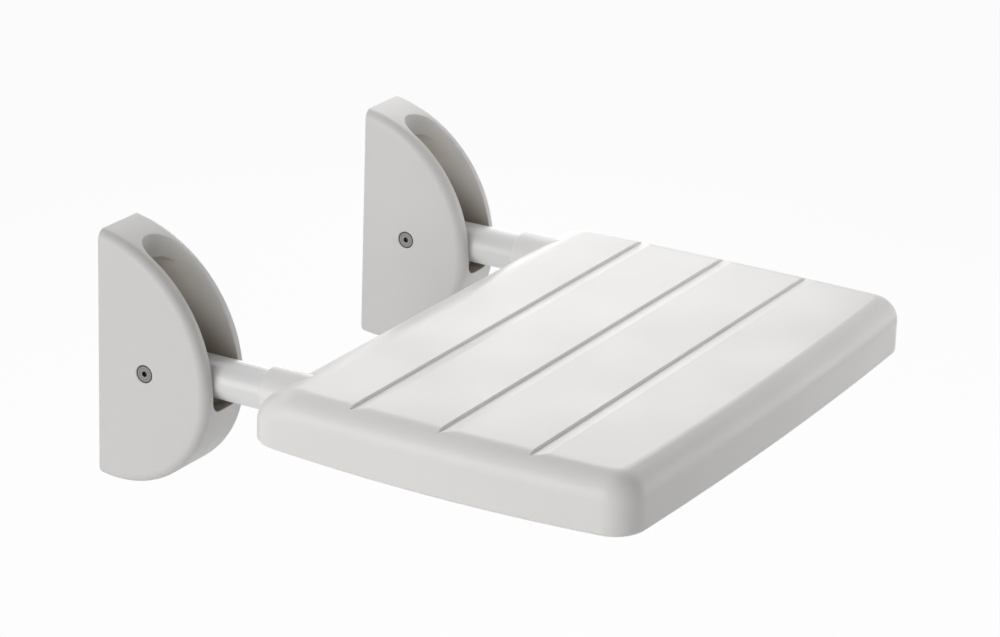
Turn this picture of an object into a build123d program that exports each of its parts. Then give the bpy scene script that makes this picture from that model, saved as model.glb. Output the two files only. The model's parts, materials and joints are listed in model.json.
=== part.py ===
"""Wall-hung folding shower seat: two slotted brackets, two tubular arms and a grooved seat.

Millimetres, +Z up, +X to the right, the wall is the plane Y = 0 and the seat reaches out to -Y.
The origin is on the wall, in the middle of the four wall fixings.
"""
import math
import os

from build123d import *

# Driving dimensions: the two wall brackets
arm_inset = 45.0
bracket_thickness = 52.0
bracket_depth = 91.5
bracket_upper_radius = 111.0
bracket_lower_radius = 77.0
bracket_nose_drop = 10.0
bracket_edge_radius = 7.0
bracket_wall = 5.0
bracket_rib = 4.0
bracket_back = 14.0
mouth_wall = 8.0
slot_depth_below = 7.0
slot_corner = 10.0
slot_lip_radius = 0.8
pocket_corner = 5.0
wall_hole_diameter = 9.0
wall_hole_pitch = 78.0
pivot_out = 39.0
pivot_drop = 27.0

# Driving dimensions: the pivot and the arms
tube_diameter = 30.0
tube_wall = 2.0
tube_end = 378.0
axle_diameter = 10.0
screw_diameter = 6.0
screw_head_diameter = 13.3
head_recess = 0.5
hex_socket = 4.0
hex_depth = 2.4
hub_length = 20.0
hub_spigot = 32.0
hub_pin_diameter = 5.0
bush_wall = 3.0
bush_length = 11.0
flange_radius = 11.0
flange_thickness = 2.2
stop_length = 26.0
stop_setback = 14.0
stop_peg_radius = 3.0
stop_peg_length = 4.0
saddle_drop = 9.0
cap_length = 14.0

# Driving dimensions: the seat
seat_width = 440.0
seat_rear = 135.0
seat_depth = 305.8
seat_thickness = 45.2
seat_wall = 3.4
side_bow = 3.0
front_bow = 5.7
rim_bow = 4.2
plan_corner = 23.0
top_edge_radius = 18.0
rim_radius = 2.4
rear_roll = 37.0
rear_roll_radius = 40.0
groove_start = 215.0
groove_pitch = 70.0
groove_count = 3
groove_ramp = 11.0
groove_step = 0.8
groove_share = 0.6
collar_start = 128.5
collar_inner_end = 166.0
collar_wall = 2.6
collar_round = 2.0
rib_thickness = 3.0
rib_lift = 10.0
rib_columns = 5
clamp_width = 22.0
clamp_thickness = 3.0
clamp_ear = 34.0
clamp_screw_pitch = 48.0
clamp_screw_diameter = 5.0
clamp_screw_length = 16.0
clamp_head_radius = 4.5
clamp_head_height = 3.0
boss_diameter = 11.0

# Clearances
running_fit = 0.05
press_gap = 0.05
slide_gap = 0.15
free_gap = 0.3
slot_gap = 1.2
ceiling_gap = 0.4
tip_gap = 2.0

# How far a cutting form runs past the face it cuts
over = 10.0

# How near to a line or surface an edge counts as lying on it
pick_tolerance = 0.05

# Sizes that follow from the driving dimensions
half_span = seat_width / 2 - arm_inset
half_thickness = bracket_thickness / 2
tube_radius = tube_diameter / 2
bore_radius = tube_radius - tube_wall
axle_radius = axle_diameter / 2
slot_half = tube_radius + slot_gap
pivot_z = -pivot_drop
nose_z = pivot_z - bracket_nose_drop
bracket_top = nose_z + bracket_upper_radius
slot_floor = pivot_z - tube_radius - slot_depth_below
pocket_top = nose_z + math.sqrt(
    (bracket_upper_radius - mouth_wall) ** 2 - (bracket_upper_radius - bracket_depth + pivot_out) ** 2
)
cheek_flat = slot_half - free_gap - flange_thickness
bush_radius = axle_radius + bush_wall
head_depth = (screw_head_diameter - screw_diameter) / 2
head_reach = half_thickness - head_recess
axle_reach = half_thickness - head_depth - tip_gap
tube_start = pivot_out + hub_length
stop_peg_out = pivot_out + stop_setback + stop_length / 2
hub_pin_out = tube_start + hub_spigot / 2
half_width = seat_width / 2
corner_half = half_width - side_bow
seat_front = seat_rear + seat_depth
corner_front = seat_front - front_bow
seat_middle = (seat_rear + corner_front) / 2
seat_top = pivot_z + tube_radius + ceiling_gap + seat_wall
ceiling = seat_top - seat_wall
rim_low = seat_top - seat_thickness
rib_bottom = rim_low + rib_lift
groove_depth = groove_share * seat_wall
collar_radius = tube_radius + collar_wall
rib_pitch = groove_pitch / 2
rib_rows = [groove_start + rib_pitch * n for n in range(-1, 2 * groove_count)]
clamp_rows = [groove_start, groove_start + (groove_count - 1) * groove_pitch]


def pivot_plane(side, x):
    """A plane across the pivot, x outward of the bracket's middle, facing away from that middle."""
    sign = 1 if x >= 0 else -1
    return Plane((side * half_span + x, -pivot_out, pivot_z), z_dir=(sign, 0, 0))


def slot_void(side):
    """The space the arm swings through: a slot with a round upper end and the pocket behind it."""
    middle = side * half_span
    with BuildPart() as void:
        with BuildSketch(Plane.XY.offset(slot_floor)):
            with Locations((middle, -pivot_out)):
                Circle(slot_half)
            with Locations((middle, -(pivot_out + bracket_depth + over) / 2)):
                Rectangle(2 * slot_half, bracket_depth + over - pivot_out)
        extrude(amount=bracket_top - slot_floor + over)
        with BuildSketch(Plane.XZ) as mouth:
            with Locations((middle, (slot_floor + bracket_top + over) / 2)):
                Rectangle(2 * slot_half, bracket_top + over - slot_floor)
            fillet(mouth.vertices().group_by(Axis.Y)[0], radius=slot_corner)
        extrude(amount=bracket_depth + over, mode=Mode.INTERSECT)
        with BuildSketch(Plane.XZ.offset(bracket_back)) as pocket:
            with Locations((middle, (slot_floor + pocket_top) / 2)):
                Rectangle(2 * slot_half, pocket_top - slot_floor)
            fillet(pocket.vertices().group_by(Axis.Y)[0], radius=slot_corner)
            fillet(pocket.vertices().group_by(Axis.Y)[-1], radius=pocket_corner)
        extrude(amount=pivot_out - bracket_back)
    return void.part


def bracket_housing(side):
    """The moulded bracket: rounded nose, arm slot, wall fixings and a cored, ribbed lower body."""
    middle = side * half_span
    void = slot_void(side)
    upper = bracket_upper_radius - bracket_depth
    lower = bracket_lower_radius - bracket_depth
    upper_angle = math.degrees(math.acos(-upper / bracket_upper_radius))
    lower_angle = 360 - math.degrees(math.acos(-lower / bracket_lower_radius))

    def on_skin(edge):
        spot = edge @ 0.5
        if spot.Z > nose_z:
            return abs(math.hypot(spot.Y - upper, spot.Z - nose_z) - bracket_upper_radius) < pick_tolerance
        return abs(math.hypot(spot.Y - lower, spot.Z - nose_z) - bracket_lower_radius) < pick_tolerance

    with BuildPart() as housing:
        with BuildSketch(Plane.YZ.offset(middle)):
            with BuildLine():
                crown = CenterArc((upper, nose_z), bracket_upper_radius, upper_angle, 180 - upper_angle)
                belly = CenterArc((lower, nose_z), bracket_lower_radius, 180, lower_angle - 180)
                Line(belly @ 1, crown @ 0)
            make_face()
        extrude(amount=half_thickness, both=True)
        rounded = housing.faces().filter_by(Axis.X).edges().filter_by(GeomType.CIRCLE)
        fillet(rounded, radius=bracket_edge_radius)
        add(void, mode=Mode.SUBTRACT)
        fillet(housing.edges(Select.LAST).filter_by(on_skin), radius=slot_lip_radius)
        for sign in (-1, 1):
            with BuildSketch(Plane.YZ.offset(middle + sign * bracket_rib / 2)):
                with Locations((lower, nose_z)):
                    Circle(bracket_lower_radius - bracket_wall)
                with Locations((-bracket_depth / 2, slot_floor - bracket_wall - bracket_depth / 2)):
                    Rectangle(bracket_depth, bracket_depth, mode=Mode.INTERSECT)
            core = sign * (half_thickness - bracket_wall - bracket_rib / 2)
            extrude(amount=core, mode=Mode.SUBTRACT)
        with Locations(Plane((middle, 0, 0), x_dir=(1, 0, 0), z_dir=(0, 1, 0))):
            with GridLocations(0, wall_hole_pitch, 1, 2):
                Hole(wall_hole_diameter / 2, depth=bracket_back + free_gap)
        for reach in (-half_thickness, half_thickness):
            with Locations(pivot_plane(side, reach)):
                CounterSinkHole(
                    axle_radius + press_gap,
                    screw_head_diameter / 2 + press_gap + head_recess,
                    half_thickness,
                    90,
                )
        with Locations(Plane((middle, -stop_peg_out, slot_floor), z_dir=(0, 0, 1))):
            Hole(stop_peg_radius + press_gap, depth=stop_peg_length + press_gap)
    return housing.part


def stop_pad(side):
    """The saddle that the lowered arm comes down on, pegged into the slot's floor."""
    middle = side * half_span
    saddle_top = pivot_z - saddle_drop
    with BuildPart() as pad:
        with BuildSketch(Plane.XZ.offset(pivot_out + stop_setback)) as saddle:
            with Locations((middle, (slot_floor + saddle_top) / 2)):
                Rectangle(2 * (slot_half - slide_gap), saddle_top - slot_floor)
            fillet(saddle.vertices().group_by(Axis.Y)[0], radius=slot_corner)
            with Locations((middle, pivot_z)):
                Circle(tube_radius + free_gap, mode=Mode.SUBTRACT)
        extrude(amount=stop_length)
        with BuildSketch(Plane.XY.offset(slot_floor - stop_peg_length)):
            with Locations((middle, -stop_peg_out)):
                Circle(stop_peg_radius)
        extrude(amount=stop_peg_length)
    return pad.part


def pivot_barrel(side):
    """The pivot pin: a barrel nut with a countersunk hex-socket head in the bracket's left cheek."""
    with BuildPart() as barrel:
        with BuildSketch(pivot_plane(side, -head_reach)):
            Circle(axle_radius)
        extrude(amount=-(head_reach + axle_reach))
        with BuildSketch(pivot_plane(side, -head_reach)):
            Circle(screw_head_diameter / 2)
        extrude(amount=-(screw_head_diameter / 2 - axle_radius), taper=45)
        with BuildSketch(pivot_plane(side, -head_reach)):
            RegularPolygon(hex_socket / 2, 6, major_radius=False)
        extrude(amount=-hex_depth, mode=Mode.SUBTRACT)
        with Locations(pivot_plane(side, axle_reach)):
            Hole(screw_diameter / 2 + press_gap, depth=half_thickness)
    return barrel.part


def pivot_screw(side):
    """The countersunk hex-socket screw that closes the barrel nut from the right cheek."""
    with BuildPart() as screw:
        with BuildSketch(pivot_plane(side, head_reach)):
            Circle(screw_head_diameter / 2)
        extrude(amount=-head_depth, taper=45)
        with BuildSketch(pivot_plane(side, head_reach)):
            Circle(screw_diameter / 2)
        extrude(amount=-(head_reach - tip_gap))
        with BuildSketch(pivot_plane(side, head_reach)):
            RegularPolygon(hex_socket / 2, 6, major_radius=False)
        extrude(amount=-hex_depth, mode=Mode.SUBTRACT)
    return screw.part


def arm_hub(side):
    """The domed hinge end of an arm: flat cheeks, a cross bore and a spigot for the tube."""
    middle = side * half_span
    tip = -pivot_out + tube_radius
    spigot = bore_radius - press_gap
    spigot_end = -(tube_start + hub_spigot)
    with BuildPart() as hub:
        with BuildSketch(Plane.YZ.offset(middle)):
            with BuildLine():
                CenterArc((-pivot_out, pivot_z), tube_radius, 0, 90)
                Polyline(
                    (-pivot_out, pivot_z + tube_radius),
                    (-tube_start, pivot_z + tube_radius),
                    (-tube_start, pivot_z + spigot),
                    (spigot_end, pivot_z + spigot),
                    (spigot_end, pivot_z),
                    (tip, pivot_z),
                )
            make_face()
        revolve(axis=Axis((middle, 0, pivot_z), (0, 1, 0)))
        cheek_end = tube_radius - tube_wall
        for sign in (-1, 1):
            with BuildSketch(Plane.YZ.offset(middle + sign * cheek_flat)):
                with Locations((-pivot_out + (tube_radius + over - cheek_end) / 2, pivot_z)):
                    Rectangle(tube_radius + over + cheek_end, 2 * tube_diameter)
            extrude(amount=sign * tube_radius, mode=Mode.SUBTRACT)
        with Locations(pivot_plane(side, tube_radius)):
            Hole(bush_radius + press_gap, depth=tube_diameter)
        with Locations(Plane((middle + tube_radius, -hub_pin_out, pivot_z), z_dir=(1, 0, 0))):
            Hole(hub_pin_diameter / 2 + press_gap, depth=tube_diameter)
    return hub.part


def pivot_bushes(side):
    """Two flanged bearing bushes, one in each cheek of the hub."""
    with BuildPart() as bushes:
        for sign in (-1, 1):
            seat = pivot_plane(side, sign * cheek_flat)
            with BuildSketch(seat):
                Circle(flange_radius)
                Circle(axle_radius + running_fit, mode=Mode.SUBTRACT)
            extrude(amount=flange_thickness)
            with BuildSketch(seat):
                Circle(bush_radius)
                Circle(axle_radius + running_fit, mode=Mode.SUBTRACT)
            extrude(amount=-bush_length)
    return bushes.part


def hub_pin(side):
    """The cross pin that locks the hub's spigot in the tube."""
    middle = side * half_span
    half_pin = math.sqrt(tube_radius**2 - (hub_pin_diameter / 2) ** 2)
    with BuildPart() as pin:
        with BuildSketch(Plane((middle - half_pin, -hub_pin_out, pivot_z), z_dir=(1, 0, 0))):
            Circle(hub_pin_diameter / 2)
        extrude(amount=2 * half_pin)
    return pin.part


def arm_tube(side):
    """One arm: a straight round tube from the hub to under the seat's front half."""
    middle = side * half_span
    with BuildPart() as tube:
        with BuildSketch(Plane.XZ.offset(tube_start)):
            with Locations((middle, pivot_z)):
                Circle(tube_radius)
                Circle(bore_radius, mode=Mode.SUBTRACT)
        extrude(amount=tube_end - tube_start)
        with Locations(Plane((middle + tube_radius, -hub_pin_out, pivot_z), z_dir=(1, 0, 0))):
            Hole(hub_pin_diameter / 2 + press_gap, depth=tube_diameter)
    return tube.part


def tube_cap(side):
    """The plug that closes the tube's end under the seat."""
    middle = side * half_span
    with BuildPart() as cap:
        with BuildSketch(Plane.XZ.offset(tube_end)):
            with Locations((middle, pivot_z)):
                Circle(tube_radius)
        extrude(amount=tube_wall)
        fillet(cap.edges().group_by(Axis.Y)[0], radius=tube_wall / 2)
        with BuildSketch(Plane.XZ.offset(tube_end)):
            with Locations((middle, pivot_z)):
                Circle(bore_radius - press_gap)
                Circle(bore_radius - press_gap - tube_wall, mode=Mode.SUBTRACT)
        extrude(amount=-cap_length)
    return cap.part


def seat_blank(inset):
    """The seat's rounded form, drawn in evenly by the inset and left open-ended below the rim."""
    bottom = rim_low - 2 * over
    rear_start = seat_rear + rear_roll
    corner_x = corner_half - inset
    corner_y = inset - corner_front
    with BuildPart() as blank:
        with BuildSketch(Plane.XY.offset(bottom)) as plan:
            with BuildLine():
                rear = Line((-corner_x, -seat_rear - inset), (corner_x, -seat_rear - inset))
                right = ThreePointArc(rear @ 1, (corner_x + side_bow, -seat_middle), (corner_x, corner_y))
                front = ThreePointArc(right @ 1, (0, corner_y - front_bow), (-corner_x, corner_y))
                ThreePointArc(front @ 1, (-corner_x - side_bow, -seat_middle), rear @ 0)
            make_face()
            fillet(plan.vertices(), radius=plan_corner - inset)
        extrude(amount=seat_top - bottom + over)
        with BuildSketch(Plane.YZ):
            with BuildLine():
                heel = CenterArc((-rear_start, seat_top - rear_roll_radius), rear_roll_radius - inset, 0, 90)
                Polyline(
                    heel @ 1,
                    (-seat_front - over, seat_top - inset),
                    (-seat_front - over, bottom),
                    ((heel @ 0).X, bottom),
                    heel @ 0,
                )
            make_face()
        extrude(amount=seat_width, both=True, mode=Mode.INTERSECT)
        flat = blank.faces().filter_by(Axis.Z).sort_by(Axis.Z)[-1]
        heel_face = blank.faces().filter_by(lambda face: face.center().Y > -rear_start).sort_by(Axis.Z)[-1]
        around = flat.edges() + heel_face.edges()
        border = around.filter_by(lambda edge: abs(edge.center().Y + rear_start) > pick_tolerance)
        fillet(border, radius=top_edge_radius - inset)
    return blank.part


def seat_ribs():
    """The rib grid under the seat, cut back where the tube clamps sit and ending inside the walls."""
    limit = seat_blank(seat_wall / 2)
    column_pitch = 2 * (half_span - clamp_ear - over / 2) / (rib_columns - 1)
    with BuildPart() as ribs:
        with BuildSketch(Plane.XY.offset(rib_bottom)):
            with Locations(*[(0, -row) for row in rib_rows]):
                Rectangle(seat_width, rib_thickness)
            with Locations((0, -seat_middle)):
                with GridLocations(column_pitch, 0, rib_columns, 1):
                    Rectangle(rib_thickness, seat_depth)
        extrude(amount=ceiling - rib_bottom + seat_wall)
        for side in (-1, 1):
            with BuildSketch(Plane.XY.offset(pivot_z)):
                with Locations(*[(side * half_span, -row) for row in clamp_rows]):
                    Rectangle(2 * (clamp_ear + slot_gap), clamp_width + 2 * slot_gap)
            extrude(amount=rib_bottom - pivot_z - over, mode=Mode.SUBTRACT)
        with BuildSketch(Plane.XY.offset(pivot_z)):
            with Locations(*clamp_screw_places()):
                Circle(boss_diameter / 2)
        extrude(amount=ceiling - pivot_z + seat_wall)
        add(limit, mode=Mode.INTERSECT)
    return ribs.part


def clamp_screw_places(sides=(-1, 1)):
    """Plan positions of the clamp screws, two to each clamp."""
    return [
        (side * half_span + sign * clamp_screw_pitch / 2, -row)
        for side in sides
        for row in clamp_rows
        for sign in (-1, 1)
    ]


def seat_shell():
    """The moulded seat: rolled rear, three stepped grooves, arm collars and a ribbed, open underside."""
    outer = seat_blank(0)
    hollow = seat_blank(seat_wall)
    ribs = seat_ribs()
    channel_end = tube_end + 2 * tube_wall
    rim_end = rim_low + rim_bow * (1 + 2 * over / seat_depth) ** 2
    arm_places = [(-half_span, pivot_z), (half_span, pivot_z)]
    with BuildPart() as shell:
        add(outer)
        with BuildSketch(Plane.YZ):
            with BuildLine():
                rim = ThreePointArc(
                    (over - seat_rear, rim_end), (-seat_middle, rim_low), (-seat_front - over, rim_end)
                )
                Polyline(
                    rim @ 1,
                    (-seat_front - over, rim_low - 3 * over),
                    (over - seat_rear, rim_low - 3 * over),
                    rim @ 0,
                )
            make_face()
        extrude(amount=seat_width, both=True, mode=Mode.SUBTRACT)
        fillet(shell.faces().sort_by(Axis.Z)[0].edges(), radius=rim_radius)
        add(hollow, mode=Mode.SUBTRACT)
        add(ribs)
        with BuildSketch(Plane.XZ.offset(collar_start)):
            with Locations(*arm_places):
                Circle(collar_radius)
        extrude(amount=collar_inner_end - collar_start)
        fillet(shell.edges().group_by(Axis.Y)[-1], radius=collar_round)
        with BuildSketch(Plane.XZ.offset(collar_start - over)):
            with Locations(*arm_places):
                Circle(tube_radius + slide_gap)
        extrude(amount=channel_end - collar_start + over, mode=Mode.SUBTRACT)
        with BuildSketch(Plane.XZ.offset(collar_inner_end)):
            with Locations(*[(x, pivot_z - tube_radius) for x, z in arm_places]):
                Rectangle(2 * (tube_radius + slide_gap), 2 * tube_radius)
        extrude(amount=channel_end - collar_inner_end, mode=Mode.SUBTRACT)
        with BuildSketch(Plane.YZ):
            for number in range(groove_count):
                groove = -(groove_start + number * groove_pitch)
                with BuildLine():
                    Polyline(
                        (groove, seat_top - groove_depth),
                        (groove + groove_step, seat_top),
                        (groove + groove_step, seat_top + over),
                        (groove - groove_ramp, seat_top + over),
                        (groove - groove_ramp, seat_top),
                        close=True,
                    )
                make_face()
        extrude(amount=seat_width, both=True, mode=Mode.SUBTRACT)
        with BuildSketch(Plane.XY.offset(pivot_z - clamp_thickness)):
            with Locations(*clamp_screw_places()):
                Circle(clamp_screw_diameter / 2 + press_gap)
        extrude(amount=clamp_screw_length + press_gap, mode=Mode.SUBTRACT)
    return shell.part


def seat_clamp(side, row):
    """A saddle strap that holds the tube up against the seat's ribs."""
    middle = side * half_span
    with BuildPart() as clamp:
        with BuildSketch(Plane.XZ.offset(row - clamp_width / 2)):
            with Locations((middle, pivot_z)):
                Circle(tube_radius + clamp_thickness)
            with Locations((middle, pivot_z - tube_radius)):
                Rectangle(2 * tube_diameter, 2 * tube_radius, mode=Mode.INTERSECT)
            with Locations((middle, pivot_z - clamp_thickness / 2)):
                Rectangle(2 * clamp_ear, clamp_thickness)
            with Locations((middle, pivot_z)):
                Circle(tube_radius + press_gap, mode=Mode.SUBTRACT)
        extrude(amount=clamp_width)
        ear_corners = clamp.edges().filter_by(Axis.Z).group_by(Axis.X)
        fillet(ear_corners[0] + ear_corners[-1], radius=clamp_width / 4)
        with Locations(Plane((middle, -row, pivot_z), z_dir=(0, 0, 1))):
            with GridLocations(clamp_screw_pitch, 0, 2, 1):
                Hole(clamp_screw_diameter / 2 + slide_gap, depth=clamp_thickness)
    return clamp.part


def clamp_screws(side):
    """The four round-headed screws of one arm's two clamps."""
    under_head = pivot_z - clamp_thickness
    with BuildPart() as screws:
        with BuildSketch(Plane.XY.offset(under_head)):
            with Locations(*clamp_screw_places([side])):
                Circle(clamp_head_radius)
        extrude(amount=-clamp_head_height)
        fillet(screws.edges().group_by(Axis.Z)[0], radius=clamp_head_height / 2)
        with BuildSketch(Plane.XY.offset(under_head)):
            with Locations(*clamp_screw_places([side])):
                Circle(clamp_screw_diameter / 2)
        extrude(amount=clamp_screw_length)
    return screws.part


def write(piece, label):
    """Label one finished piece and write it as its own file."""
    piece.label = label
    export_step(piece, f"parts/{label}.step")


os.makedirs("parts", exist_ok=True)
write(seat_shell(), "seat_shell")
for side, hand in ((-1, "left"), (1, "right")):
    write(bracket_housing(side), f"bracket_housing_{hand}")
    write(stop_pad(side), f"stop_pad_{hand}")
    write(pivot_barrel(side), f"pivot_barrel_{hand}")
    write(pivot_screw(side), f"pivot_screw_{hand}")
    write(arm_hub(side), f"arm_hub_{hand}")
    write(pivot_bushes(side), f"pivot_bushes_{hand}")
    write(hub_pin(side), f"hub_pin_{hand}")
    write(arm_tube(side), f"arm_tube_{hand}")
    write(tube_cap(side), f"tube_cap_{hand}")
    write(seat_clamp(side, clamp_rows[0]), f"seat_clamp_rear_{hand}")
    write(seat_clamp(side, clamp_rows[1]), f"seat_clamp_front_{hand}")
    write(clamp_screws(side), f"clamp_screws_{hand}")
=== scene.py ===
# %% [markdown]
# A folding shower seat, dressed for a studio picture. The seat hangs on a wall by two moulded brackets.
# Two coated arms swing in the brackets' slots and carry a white moulded seat. The solids come in already
# built, at their real size and in metres, so this script never moves them: it gives every surface its
# finish, adds the fine pieces that the solids leave plain, and sets up a camera and soft light.

# %% The frame
import json
import math

import bmesh
import bpy
from mathutils import Matrix, Vector

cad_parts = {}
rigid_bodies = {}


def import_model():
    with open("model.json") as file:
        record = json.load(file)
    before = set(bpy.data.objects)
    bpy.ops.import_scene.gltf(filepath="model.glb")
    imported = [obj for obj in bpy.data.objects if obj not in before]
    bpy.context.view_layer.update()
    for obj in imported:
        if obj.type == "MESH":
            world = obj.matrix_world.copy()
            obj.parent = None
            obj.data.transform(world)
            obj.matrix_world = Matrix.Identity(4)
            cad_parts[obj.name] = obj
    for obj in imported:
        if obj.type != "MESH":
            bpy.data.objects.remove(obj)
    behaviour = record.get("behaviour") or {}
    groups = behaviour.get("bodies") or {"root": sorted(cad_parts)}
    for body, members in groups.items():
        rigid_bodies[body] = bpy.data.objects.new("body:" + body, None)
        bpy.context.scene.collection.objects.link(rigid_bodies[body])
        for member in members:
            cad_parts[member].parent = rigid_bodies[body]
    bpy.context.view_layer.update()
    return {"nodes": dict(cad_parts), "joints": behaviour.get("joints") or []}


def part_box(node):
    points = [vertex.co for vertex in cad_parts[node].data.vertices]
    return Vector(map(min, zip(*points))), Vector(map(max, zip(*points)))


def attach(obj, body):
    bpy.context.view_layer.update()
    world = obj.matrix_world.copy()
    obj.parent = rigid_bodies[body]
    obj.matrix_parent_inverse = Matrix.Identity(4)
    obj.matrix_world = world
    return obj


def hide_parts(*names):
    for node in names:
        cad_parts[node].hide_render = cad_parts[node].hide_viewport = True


for leftover in list(bpy.data.objects):
    bpy.data.objects.remove(leftover)
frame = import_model()
nodes = frame["nodes"]
fold = frame["joints"][0]
pivot = Vector(fold["pos_m"])

# %% [markdown]
# The picture was taken with a long lens, from the seat's left and a little above it. A camera can be
# placed by hand and nudged until it looks right. Here it is placed by what a photographer would note
# down: the direction it looks from, a slight roll, the distance, and how far the middle of the picture
# lies from a known point of the object, here the point on the wall behind the pivot.

# %% The camera
view_azimuth = math.radians(-60.5)
view_elevation = math.radians(20.5)
view_roll = math.radians(2.02)
view_distance = 2.691
view_right = 0.1825
view_up = -0.0264
lens_length = 128.7
film_width = 36.0

level = math.cos(view_elevation)
back = Vector((math.sin(view_azimuth) * level, -math.cos(view_azimuth) * level, math.sin(view_elevation)))
across = Vector((math.cos(view_azimuth), math.sin(view_azimuth), 0))
above = back.cross(across)
rolled_right = across * math.cos(view_roll) + above * math.sin(view_roll)
rolled_up = above * math.cos(view_roll) - across * math.sin(view_roll)
wall_point = Vector((0, 0, pivot.z))
eye = wall_point + back * view_distance + rolled_right * view_right + rolled_up * view_up

camera = bpy.data.objects.new("camera", bpy.data.cameras.new("camera"))
camera.data.lens = lens_length
camera.data.sensor_width = film_width
facing = Matrix((rolled_right, rolled_up, back)).transposed()
camera.matrix_world = Matrix.Translation(eye) @ facing.to_4x4()
bpy.context.scene.collection.objects.link(camera)
bpy.context.scene.camera = camera
print("camera stands at", [round(part, 3) for part in eye])

# %% [markdown]
# Most finishes here share the same few effects, so each effect is a node group with named sockets. A few
# helpers keep the groups short. The first makes an empty group, and the second adds a node and fills its
# sockets with either a plain value or a link. The others add what every group needs: a sum, a stretch of
# a value from 0 to 1, a noise, and the place of a point. A texture could follow a UV map, but the solids
# have none that suits them, so every pattern reads the object's own coordinates, which are metres.

# %% Helpers for shader nodes
def make_group(name, inputs, outputs):
    """An empty shader group with the named sockets, and its two end nodes."""
    group = bpy.data.node_groups.new(name, "ShaderNodeTree")
    for label, kind, value in inputs:
        group.interface.new_socket(label, in_out="INPUT", socket_type=kind).default_value = value
    for label in outputs:
        group.interface.new_socket(label, in_out="OUTPUT", socket_type="NodeSocketFloat")
    return group, group.nodes.new("NodeGroupInput").outputs, group.nodes.new("NodeGroupOutput").inputs


def add_node(tree, kind, sockets, **settings):
    """One node with its settings; a socket takes a plain value or a link from another node."""
    node = tree.nodes.new(kind)
    for name, value in settings.items():
        setattr(node, name, value)
    for label, value in sockets.items():
        if isinstance(value, bpy.types.NodeSocket):
            tree.links.new(value, node.inputs[label])
        else:
            node.inputs[label].default_value = value
    return node


def calculate(tree, operation, first, second=0.0, clamp=False):
    """The result of one sum on two values."""
    sum_node = add_node(tree, "ShaderNodeMath", {0: first, 1: second}, operation=operation, use_clamp=clamp)
    return sum_node.outputs[0]


def stretch(tree, value, low, high, curve="LINEAR"):
    """0 where the value is at low and 1 where it is at high, on a line or a smooth step."""
    sockets = {"Value": value, "From Min": low, "From Max": high}
    return add_node(tree, "ShaderNodeMapRange", sockets, interpolation_type=curve).outputs["Result"]


def noise(tree, position, scale, detail):
    """A soft noise from 0 to 1 at a scale given as patches to the metre."""
    sockets = {"Vector": position, "Scale": scale, "Detail": detail}
    return add_node(tree, "ShaderNodeTexNoise", sockets).outputs["Fac"]


def object_position(tree):
    """Where a surface point lies in the object's own coordinates."""
    return tree.nodes.new("ShaderNodeTexCoord").outputs["Object"]


NUMBER = "NodeSocketFloat"
POINT = "NodeSocketVector"
print("helpers ready")

# %% [markdown]
# Plastic from a mould copies the steel: a fine even grain, and over a hand's breadth a slight drift in
# tone and gloss where the melt cooled at different rates. A powder coat has a coarser peel instead, so
# the same group serves for both with its own sizes. The grain could be a displaced mesh, but it is a few
# hundredths of a millimetre deep, so it stays in the shading.

# %% Grain and drift
fine_detail = 3.0
broad_detail = 2.0
noise_low = 0.3
noise_high = 0.7


def build_surface_grain():
    group, given, made = make_group(
        "surface grain",
        [("Grains per metre", NUMBER, 1500.0), ("Patches per metre", NUMBER, 12.0)],
        ["Height", "Drift"],
    )
    place = object_position(group)
    fine = noise(group, place, given["Grains per metre"], fine_detail)
    group.links.new(fine, made["Height"])
    broad = noise(group, place, given["Patches per metre"], broad_detail)
    group.links.new(stretch(group, broad, noise_low, noise_high), made["Drift"])
    return group


surface_grain = build_surface_grain()
print("made", surface_grain.name)

# %% [markdown]
# Edges that hands and towels rub go smoother, and corners that water dries in keep a faint film. Both
# could be painted on by hand. Instead the first compares the true normal with one rounded over a small
# radius, which differ only at edges, and the second asks how closed-in a point is. With other values the
# second group also lays painted shade, a dark colour where a point is closed in, in the brackets' slots
# and the screws' sockets. A third group tells how low a point lies, which the slots use to paint their
# walls paler near the top and darker further down, as painted light and shade.

# %% Rubbed edges, dried film and painted shade, and height
flat_likeness = 0.98
edge_likeness = 0.8
rubs_per_metre = 180.0
splashes_per_metre = 90.0
corner_film = {"Reach": 0.006, "Open": 0.75, "Shut": 0.25, "Patchiness": 1.0}


def build_rubbed_edges():
    group, given, made = make_group("rubbed edges", [("Width", NUMBER, 0.001)], ["Wear"])
    rounded = add_node(group, "ShaderNodeBevel", {"Radius": given["Width"]}, samples=4).outputs["Normal"]
    true_normal = group.nodes.new("ShaderNodeNewGeometry").outputs["Normal"]
    normals = {0: rounded, 1: true_normal}
    likeness = add_node(group, "ShaderNodeVectorMath", normals, operation="DOT_PRODUCT")
    edge = stretch(group, likeness.outputs["Value"], flat_likeness, edge_likeness)
    patchy = noise(group, object_position(group), rubs_per_metre, broad_detail)
    group.links.new(calculate(group, "MULTIPLY", edge, patchy), made["Wear"])
    return group


# One group gives a faint dried film in corners and, with the settings for slots and sockets, painted shade.
def build_film_and_shade():
    inputs = [(label, NUMBER, value) for label, value in corner_film.items()]
    group, given, made = make_group("film_and_painted_shade", inputs, ["Film"])
    openness = add_node(group, "ShaderNodeAmbientOcclusion", {"Distance": given["Reach"]}, samples=6)
    closed = stretch(group, openness.outputs["AO"], given["Open"], given["Shut"])
    splashes = noise(group, object_position(group), splashes_per_metre, fine_detail)
    thin = calculate(group, "SUBTRACT", 1.0, splashes)
    bare = calculate(group, "MULTIPLY", thin, given["Patchiness"])
    covered = calculate(group, "SUBTRACT", 1.0, bare)
    group.links.new(calculate(group, "MULTIPLY", closed, covered), made["Film"])
    return group


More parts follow.
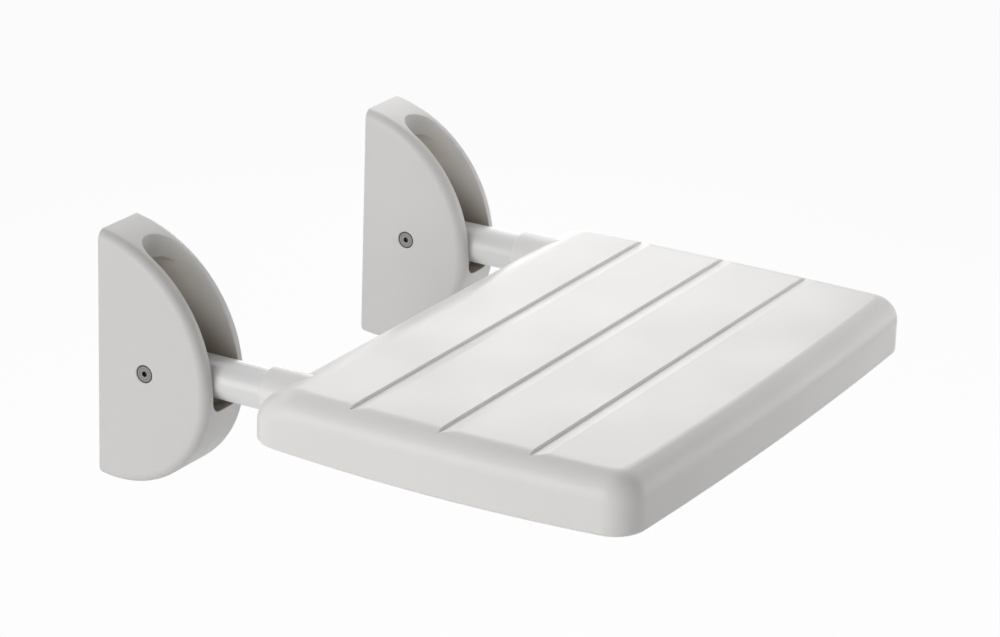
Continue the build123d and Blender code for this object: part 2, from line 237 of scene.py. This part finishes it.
# How low a point lies, 1 at Low and 0 at High; the slots use it to grade their painted light and shade.
def build_height_ramp():
    group, given, made = make_group("height_ramp", [("Low", NUMBER, 0.0), ("High", NUMBER, 1.0)], ["Settled"])
    height = add_node(group, "ShaderNodeSeparateXYZ", {"Vector": object_position(group)}).outputs["Z"]
    lowness = stretch(group, height, given["High"], given["Low"], "SMOOTHSTEP")
    group.links.new(lowness, made["Settled"])
    return group


rubbed_edges = build_rubbed_edges()
film_and_shade = build_film_and_shade()
height_ramp = build_height_ramp()
print("made", rubbed_edges.name, "and", film_and_shade.name, "and", height_ramp.name)

# %% [markdown]
# The seat, brackets, clamps, caps and bearings are all mouldings, and differ in colour, gloss and grain.
# Five materials could be built by hand, but they are one idea with other values, so one function makes
# them: the drift tints the colour a little and moves the gloss, the film dulls the corners, the wear
# polishes the edges, and the grain goes through a bump. The film lies thin and patchy in most corners.
# In the brackets' slots the same mask lays painted shade instead, an even brown where the walls are
# closed in, and painted light, a pale cream, near the top of each slot, so the walls go darker further
# down.

# %% Moulded finishes
def start_material(name):
    """An empty material with its surface shader, ready for links."""
    material = bpy.data.materials.new(name)
    material.use_nodes = True
    tree = material.node_tree
    return material, tree, tree.nodes["Principled BSDF"]


def use_group(tree, group, **sockets):
    """A copy of a group in a material, with its own values."""
    node = add_node(tree, "ShaderNodeGroup", {}, node_tree=group)
    for label, value in sockets.items():
        node.inputs[label.replace("_", " ")].default_value = value
    return node.outputs


def blend_colours(tree, share, first, second):
    """The first colour where the share is 0 and the second where it is 1."""
    mix = add_node(tree, "ShaderNodeMix", {"Factor": share}, data_type="RGBA")
    for socket, colour in zip([s for s in mix.inputs if s.type == "RGBA"], (first, second)):
        if isinstance(colour, bpy.types.NodeSocket):
            tree.links.new(colour, socket)
        else:
            socket.default_value = (*colour, 1.0)
    return next(s for s in mix.outputs if s.type == "RGBA")


def range_between(tree, share, low, high):
    """A value that goes from low to high as the share goes from 0 to 1."""
    between = add_node(tree, "ShaderNodeMapRange", {"Value": share, "To Min": low, "To Max": high})
    return between.outputs["Result"]


def add_bump(tree, shader, height, depth):
    """Fine relief at full strength from a height pattern, depth in metres."""
    bump = add_node(tree, "ShaderNodeBump", {"Height": height, "Distance": depth, "Strength": 1.0})
    tree.links.new(bump.outputs["Normal"], shader.inputs["Normal"])


# Painted shade in the brackets' slots: an even colour laid wherever the walls are closed in.
slot_painted_shade = {"Reach": 0.05, "Open": 0.62, "Shut": 0.32, "Patchiness": 0.2}
slot_heights = {"Low": -0.016, "High": 0.03}
film_dulling = 0.15
moulded_polish = 0.12


def moulded_finish(
    name, colour, tint, gloss, grains, depth, film_and_shade_colour, film_and_shade_share=0.5, film=corner_film, upper_painted_light=None
):
    """A moulded plastic: gloss is the roughness where it is smoothest and where it is dullest."""
    material, tree, shader = start_material(name)
    grain = use_group(tree, surface_grain, Grains_per_metre=grains)
    wear = use_group(tree, rubbed_edges)["Wear"]
    cover = use_group(tree, film_and_shade, **film)["Film"]
    tinted = blend_colours(tree, grain["Drift"], colour, tint)
    # In the slots the painted colour runs from a pale cream, painted light, near the top to brown, painted
    # shade, lower down.
    if upper_painted_light:
        lowness = use_group(tree, height_ramp, **slot_heights)["Settled"]
        film_and_shade_colour = blend_colours(tree, lowness, upper_painted_light, film_and_shade_colour)
    faint = calculate(tree, "MULTIPLY", cover, film_and_shade_share)
    tree.links.new(blend_colours(tree, faint, tinted, film_and_shade_colour), shader.inputs["Base Color"])
    drifting = range_between(tree, grain["Drift"], *gloss)
    dulled = calculate(tree, "ADD", drifting, calculate(tree, "MULTIPLY", cover, film_dulling))
    polish = calculate(tree, "MULTIPLY", wear, moulded_polish)
    tree.links.new(calculate(tree, "SUBTRACT", dulled, polish, clamp=True), shader.inputs["Roughness"])
    add_bump(tree, shader, grain["Height"], depth)
    return material


finishes = {
    "seat_plastic": moulded_finish(
        "seat_plastic",
        colour=(0.872, 0.860, 0.840),
        tint=(0.857, 0.844, 0.823),
        gloss=(0.30, 0.38),
        grains=1400,
        depth=2e-5,
        film_and_shade_colour=(0.66, 0.64, 0.60),
        film_and_shade_share=0.2,
    ),
    "bracket_plastic": moulded_finish(
        "bracket_plastic",
        colour=(0.725, 0.717, 0.702),
        tint=(0.71, 0.702, 0.687),
        gloss=(0.38, 0.46),
        grains=1800,
        depth=2e-5,
        # Painted shade: brown on the closed-in walls of the slots, with a pale cream above it as painted
        # light.
        film_and_shade_colour=(0.235, 0.185, 0.125),
        film_and_shade_share=0.9,
        film=slot_painted_shade,
        upper_painted_light=(0.90, 0.85, 0.77),
    ),
    "clamp_plastic": moulded_finish(
        "clamp_plastic",
        colour=(0.72, 0.72, 0.71),
        tint=(0.68, 0.68, 0.67),
        gloss=(0.45, 0.58),
        grains=1100,
        depth=5e-5,
        film_and_shade_colour=(0.50, 0.49, 0.46),
    ),
    "cap_plastic": moulded_finish(
        "cap_plastic",
        colour=(0.55, 0.55, 0.55),
        tint=(0.51, 0.51, 0.51),
        gloss=(0.42, 0.52),
        grains=1300,
        depth=4e-5,
        film_and_shade_colour=(0.40, 0.39, 0.37),
    ),
    "bearing_plastic": moulded_finish(
        "bearing_plastic",
        colour=(0.70, 0.69, 0.62),
        tint=(0.66, 0.65, 0.58),
        gloss=(0.30, 0.42),
        grains=1600,
        depth=2e-5,
        film_and_shade_colour=(0.50, 0.48, 0.42),
    ),
}
print("moulded finishes:", ", ".join(finishes))

# %% [markdown]
# The arms are steel tube under a white powder coat. Melted powder draws together into a low peel, about a
# millimetre and a half across, which makes the gloss waver. The peel could be sculpted, but it is a few
# hundredths of a millimetre deep, so a bump gives it. A clear coat layer gives the hard shine.

# %% Coated arms
coating_polish = 0.1
clear_coat_weight = 0.25
clear_coat_roughness = 0.12


def coated_finish(name, colour, tint, gloss, peels, depth):
    """A powder coat with its peel and a thin clear skin."""
    material, tree, shader = start_material(name)
    peel = use_group(tree, surface_grain, Grains_per_metre=peels)
    wear = use_group(tree, rubbed_edges)["Wear"]
    tree.links.new(blend_colours(tree, peel["Drift"], colour, tint), shader.inputs["Base Color"])
    drifting = range_between(tree, peel["Drift"], *gloss)
    polish = calculate(tree, "MULTIPLY", wear, coating_polish)
    tree.links.new(calculate(tree, "SUBTRACT", drifting, polish, clamp=True), shader.inputs["Roughness"])
    shader.inputs["Coat Weight"].default_value = clear_coat_weight
    shader.inputs["Coat Roughness"].default_value = clear_coat_roughness
    add_bump(tree, shader, peel["Height"], depth)
    return material


finishes["arm_coating"] = coated_finish(
    "arm_coating",
    colour=(0.82, 0.82, 0.815),
    tint=(0.80, 0.80, 0.795),
    gloss=(0.28, 0.36),
    peels=650,
    depth=4e-5,
)
print("made", finishes["arm_coating"].name)

# %% [markdown]
# Screws and pins are stainless steel turned on a lathe, so their faces carry fine rings about their own
# axis. Rings could be cut into the mesh, but these are too fine for that, so they are a pattern in the
# shading. The heads of the pivots all lie on one line, and the distance from that line gives the rings.
# The same distance finds a narrow ring at the edge of each head, which is painted near black as the
# shadow of the gap around the head. The hex sockets are painted near black too where they are closed
# in, as painted shade.

# %% Turned steel
ring_low = 0.35
ring_high = 0.65


def build_lathe_rings():
    group, given, made = make_group(
        "lathe rings",
        [
            ("Axis point", POINT, (0.0, 0.0, 0.0)),
            ("Rings per metre", NUMBER, 1100.0),
            ("Edge radius", NUMBER, 0.006),
            ("Edge width", NUMBER, 0.001),
        ],
        ["Height", "Tone", "Edge"],
    )
    away = add_node(
        group,
        "ShaderNodeVectorMath",
        {0: object_position(group), 1: given["Axis point"]},
        operation="SUBTRACT",
    )
    split = add_node(group, "ShaderNodeSeparateXYZ", {"Vector": away.outputs["Vector"]}).outputs
    flat = add_node(group, "ShaderNodeCombineXYZ", {"Y": split["Y"], "Z": split["Z"]})
    length = add_node(group, "ShaderNodeVectorMath", {0: flat.outputs["Vector"]}, operation="LENGTH")
    radius = length.outputs["Value"]
    along = calculate(group, "MULTIPLY", radius, given["Rings per metre"])
    sockets = {"W": along, "Detail": broad_detail, "Scale": 1.0}
    rings = add_node(group, "ShaderNodeTexNoise", sockets, noise_dimensions="1D").outputs["Fac"]
    group.links.new(rings, made["Height"])
    group.links.new(stretch(group, rings, ring_low, ring_high), made["Tone"])
    # A narrow ring at the edge of each head, which the material paints dark as the shadow of the gap around
    # it.
    miss = calculate(group, "ABSOLUTE", calculate(group, "SUBTRACT", radius, given["Edge radius"]))
    outside = calculate(group, "DIVIDE", miss, given["Edge width"])
    group.links.new(calculate(group, "SUBTRACT", 1.0, outside, clamp=True), made["Edge"])
    return group


lathe_rings = build_lathe_rings()
head_radius = 0.00665
rim_shadow_width = 0.0011
socket_painted_shade = {"Reach": 0.004, "Patchiness": 0.2}


def turned_steel_finish(name, bright, dull, dark, gloss, depth):
    """Stainless rings about the pivot, with painted shadow on head edges and painted shade in sockets."""
    material, tree, shader = start_material(name)
    rim_shadow_middle = head_radius - rim_shadow_width / 3
    rings = use_group(
        tree, lathe_rings, Axis_point=tuple(pivot), Edge_radius=rim_shadow_middle, Edge_width=rim_shadow_width
    )
    cover = use_group(tree, film_and_shade, **socket_painted_shade)["Film"]
    toned = blend_colours(tree, rings["Tone"], bright, dull)
    rim_shadowed = blend_colours(tree, rings["Edge"], toned, dark)
    tree.links.new(blend_colours(tree, cover, rim_shadowed, dark), shader.inputs["Base Color"])
    tree.links.new(range_between(tree, rings["Tone"], *gloss), shader.inputs["Roughness"])
    shader.inputs["Metallic"].default_value = 1.0
    add_bump(tree, shader, rings["Height"], depth)
    return material


finishes["stainless"] = turned_steel_finish(
    "stainless",
    bright=(0.33, 0.325, 0.315),
    dull=(0.16, 0.156, 0.148),
    # Near black for the painted shadow at the heads' edges and the painted shade in the sockets.
    dark=(0.03, 0.028, 0.026),
    gloss=(0.24, 0.38),
    depth=3e-5,
)
print("made", finishes["stainless"].name)

# %% [markdown]
# The stop that the lowered arm comes down on is a soft rubber pad. Rubber has next to no shine and a
# bloom that lightens it in patches. One plain grey would pass for plastic, so the bloom is a second
# colour that follows the drift, and its patches are small because the pad is.

# %% Rubber
def rubber_finish(name, colour, bloom, gloss, grains, patches, depth):
    """A dull rubber with a patchy bloom."""
    material, tree, shader = start_material(name)
    grain = use_group(tree, surface_grain, Grains_per_metre=grains, Patches_per_metre=patches)
    tree.links.new(blend_colours(tree, grain["Drift"], colour, bloom), shader.inputs["Base Color"])
    tree.links.new(range_between(tree, grain["Drift"], *gloss), shader.inputs["Roughness"])
    add_bump(tree, shader, grain["Height"], depth)
    return material


finishes["stop_rubber"] = rubber_finish(
    "stop_rubber",
    colour=(0.20, 0.20, 0.195),
    bloom=(0.26, 0.26, 0.255),
    gloss=(0.55, 0.75),
    grains=900,
    patches=40,
    depth=6e-5,
)
print("made", finishes["stop_rubber"].name)

# %% [markdown]
# Each solid came in with a plain material named after its slot. They could be dressed one by one, but the
# slot's name already picks the finish, so the dressing is one loop.

# %% Dressing the solids
for node in nodes.values():
    slot = node.material_slots[0].material.name.split(".")[0]
    node.material_slots[0].material = finishes[slot]
print("dressed", len(nodes), "solids")

# %% [markdown]
# From below, the clamps show the heads of their screws. The solids have plain round heads, and a real
# head has a cross for the driver. A cross could be painted on, but a light from the side would find it
# flat, so it is cut. One screw is spun from its outline, two crossed and tapered blades are taken out of
# its head, and copies of it stand where the solids have theirs, which their boxes give.

# %% Clamp screws
pan_radius = 0.0045
pan_height = 0.003
pan_crown = 0.0011
shank_radius = 0.0025
spin_steps = 40
crown_steps = 8
cross_depth = 0.0017
cross_mouth = (0.0027, 0.00055)
cross_foot = (0.0009, 0.0004)
blade_overlap = 0.0002
merge_distance = 1e-6
sharp_angle = math.radians(35)


def spun_screw(length):
    """A pan head at z = 0 and below, and its shank above, spun about the Z axis."""
    outline = [(0.0, -pan_height)]
    for step in range(crown_steps + 1):
        turn = math.radians(90 * step / crown_steps)
        bend = pan_height - pan_crown
        outline.append((pan_radius - bend * (1 - math.sin(turn)), -pan_crown - bend * math.cos(turn)))
    outline += [(pan_radius, 0.0), (shank_radius, 0.0), (shank_radius, length), (0.0, length)]
    form = bmesh.new()
    points = [form.verts.new((radius, 0.0, height)) for radius, height in outline]
    edges = [form.edges.new(pair) for pair in zip(points, points[1:])]
    bmesh.ops.spin(
        form,
        geom=points + edges,
        cent=(0, 0, 0),
        axis=(0, 0, 1),
        angle=math.tau,
        steps=spin_steps,
        use_merge=True,
    )
    bmesh.ops.remove_doubles(form, verts=form.verts, dist=merge_distance)
    bmesh.ops.recalc_face_normals(form, faces=form.faces)
    mesh = bpy.data.meshes.new("spun_screw")
    form.to_mesh(mesh)
    form.free()
    return mesh


def driver_blade(quarter_turns):
    """One blade of the cross, widest below the head and tapering up into it."""
    form = bmesh.new()
    levels = ((cross_mouth, -pan_height - blade_overlap), (cross_foot, cross_depth - pan_height))
    corners = ((-1, -1), (1, -1), (1, 1), (-1, 1))
    rings = [[form.verts.new((x * a, y * b, z)) for x, y in corners] for (a, b), z in levels]
    form.faces.new(rings[0])
    form.faces.new(rings[1])
    for n in range(len(corners)):
        after = (n + 1) % len(corners)
        form.faces.new((rings[0][n], rings[0][after], rings[1][after], rings[1][n]))
    bmesh.ops.recalc_face_normals(form, faces=form.faces)
    turned = Matrix.Rotation(quarter_turns * math.tau / 4, 4, "Z")
    bmesh.ops.transform(form, matrix=turned, verts=form.verts)
    mesh = bpy.data.meshes.new("driver_blade")
    form.to_mesh(mesh)
    form.free()
    return mesh


def cross_head_screw(length):
    """The spun screw with the cross cut into its head."""
    screw = bpy.data.objects.new("screw_blank", spun_screw(length))
    blades = [bpy.data.objects.new(f"blade_{n}", driver_blade(n)) for n in range(2)]
    for item in (screw, *blades):
        bpy.context.scene.collection.objects.link(item)
    for blade in blades:
        cut = screw.modifiers.new(blade.name, "BOOLEAN")
        cut.operation = "DIFFERENCE"
        cut.object = blade
    finished = bpy.data.meshes.new_from_object(screw.evaluated_get(bpy.context.evaluated_depsgraph_get()))
    for item in (screw, *blades):
        bpy.data.objects.remove(item)
    return finished


def clamp_screw_set(node_name):
    """Copies of the screw at the four places of one arm's clamps, in place of the plain solids."""
    low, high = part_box(node_name)
    under_head = low.z + pan_height
    screw = cross_head_screw(high.z - under_head)
    form = bmesh.new()
    for x in (low.x + pan_radius, high.x - pan_radius):
        for y in (low.y + pan_radius, high.y - pan_radius):
            first = len(form.verts)
            form.from_mesh(screw)
            form.verts.ensure_lookup_table()
            bmesh.ops.translate(form, vec=(x, y, under_head), verts=form.verts[first:])
    mesh = bpy.data.meshes.new(f"cross_head_{node_name}")
    form.to_mesh(mesh)
    form.free()
    mesh.shade_smooth()
    mesh.set_sharp_from_angle(angle=sharp_angle)
    mesh.materials.append(finishes["stainless"])
    piece = bpy.data.objects.new(f"cross_head_{node_name}", mesh)
    bpy.context.scene.collection.objects.link(piece)
    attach(piece, "folding_seat")
    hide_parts(node_name)
    return piece


for hand in ("left", "right"):
    screw_set = clamp_screw_set(f"clamp_screws_{hand}")
    print(screw_set.name, len(screw_set.data.polygons), "faces")

# %% [markdown]
# The studio is a pale floor, well below the seat as a shower's floor would be, in a room that shines from
# its left side and, more faintly, from behind. A side's share is the square of how far a ray points to
# it, so it fades out without a seam. The background could be lit until it is white, but that light would
# fall on the seat too. Rays from the camera, a reflection or glass find plain white instead, which adds no
# light but what the gloss mirrors of it, and the floor keeps part of the shadow.

# %% Floor and surroundings
floor_drop = 0.46
floor_size = 30.0
floor_tone = 0.9
floor_roughness = 0.9
white_share = 0.95


def seen_rays(tree):
    """1 for rays from the camera, a reflection or glass, and 0 for light that falls on the object."""
    path = tree.nodes.new("ShaderNodeLightPath").outputs
    mirrored = calculate(tree, "MAXIMUM", path["Is Glossy Ray"], path["Is Transmission Ray"])
    return calculate(tree, "MAXIMUM", path["Is Camera Ray"], mirrored)


def pale_floor_finish():
    """A pale matt floor that looks nearly white to the camera and keeps a little of its shade."""
    material, tree, shader = start_material("pale_floor")
    shader.inputs["Base Color"].default_value = (floor_tone, floor_tone, floor_tone, 1.0)
    shader.inputs["Roughness"].default_value = floor_roughness
    white = add_node(tree, "ShaderNodeEmission", {"Strength": 1.0})
    share = calculate(tree, "MULTIPLY", seen_rays(tree), white_share)
    mix = add_node(tree, "ShaderNodeMixShader", {0: share, 1: shader.outputs[0], 2: white.outputs[0]})
    tree.links.new(mix.outputs[0], tree.nodes["Material Output"].inputs["Surface"])
    return material


def soft_room(left, behind):
    """Light from the left side of the room and from behind, with a level for each."""
    world = bpy.data.worlds.new("soft_room")
    world.use_nodes = True
    tree = world.node_tree
    direction = tree.nodes.new("ShaderNodeTexCoord").outputs["Generated"]
    parts = add_node(tree, "ShaderNodeSeparateXYZ", {"Vector": direction}).outputs
    level = 0.0
    for axis, sign, brightness in (("X", -1.0, left), ("Y", 1.0, behind)):
        towards = calculate(tree, "MULTIPLY", parts[axis], sign, clamp=True)
        share = calculate(tree, "MULTIPLY", towards, towards)
        level = calculate(tree, "ADD", calculate(tree, "MULTIPLY", share, brightness), level)
    seen = range_between(tree, seen_rays(tree), level, 1.0)
    tree.links.new(seen, tree.nodes["Background"].inputs["Strength"])
    tree.nodes["Background"].inputs["Color"].default_value = (1.0, 1.0, 1.0, 1.0)
    return world


bpy.ops.mesh.primitive_plane_add(size=floor_size, location=(0, 0, pivot.z - floor_drop))
floor = bpy.context.object
floor.name = "floor"
floor.data.materials.append(pale_floor_finish())
bpy.context.scene.world = soft_room(left=1.4, behind=0.3)
print("floor at", round(floor.location.z, 3), "m")

# %% [markdown]
# Seven panels add direction to the room's light. One high on the right rakes over the seat's top, and one
# above its right front corner brightens the rounded edges. Two to the right in front light the front
# face, one high behind lights the top again, and one low behind on the right is there for the slopes of
# the grooves, which lean back and mirror it. The last, on the left, lights the sides that face the
# camera. Small lamps would give hard shadows, and the picture has none, so each panel is larger than the
# seat is wide.

# %% Lamps
def soft_panel(name, place, aim, size, power):
    """A square lamp at a place, turned towards its aim."""
    data = bpy.data.lights.new(name, "AREA")
    data.size = size
    data.energy = power
    panel = bpy.data.objects.new(name, data)
    panel.location = place
    panel.rotation_euler = (Vector(aim) - Vector(place)).to_track_quat("-Z", "Y").to_euler()
    bpy.context.scene.collection.objects.link(panel)
    return panel


seat_low, seat_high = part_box("seat_shell")
seat_middle = (seat_low + seat_high) / 2
# Name, place and size in metres, and power in watts
panels = (
    ("high_right", (0.85, 0.25, 0.6), 0.7, 3.6),
    ("over_right", (1.1, -0.7, 1.0), 1.0, 3.4),
    ("right_front", (1.3, -1.0, 0.25), 0.8, 2.8),
    ("low_front", (1.0, -1.6, 0.1), 1.0, 3.3),
    ("over_behind", (0.2, 1.0, 1.0), 1.2, 6.0),
    ("low_behind_right", (1.57, 0.77, 0.02), 0.5, 2.0),
    ("left", (-1.85, 0.6, 0.2), 1.0, 8.0),
)
for name, place, size, power in panels:
    soft_panel(name, place, seat_middle, size, power)
print(len(panels), "lamps aim at", [round(part, 3) for part in seat_middle])

# %% [markdown]
# Colours should come out as they are written, so the view transform is the plain one.

# %% Colours and the end
bpy.context.scene.view_settings.view_transform = "Standard"
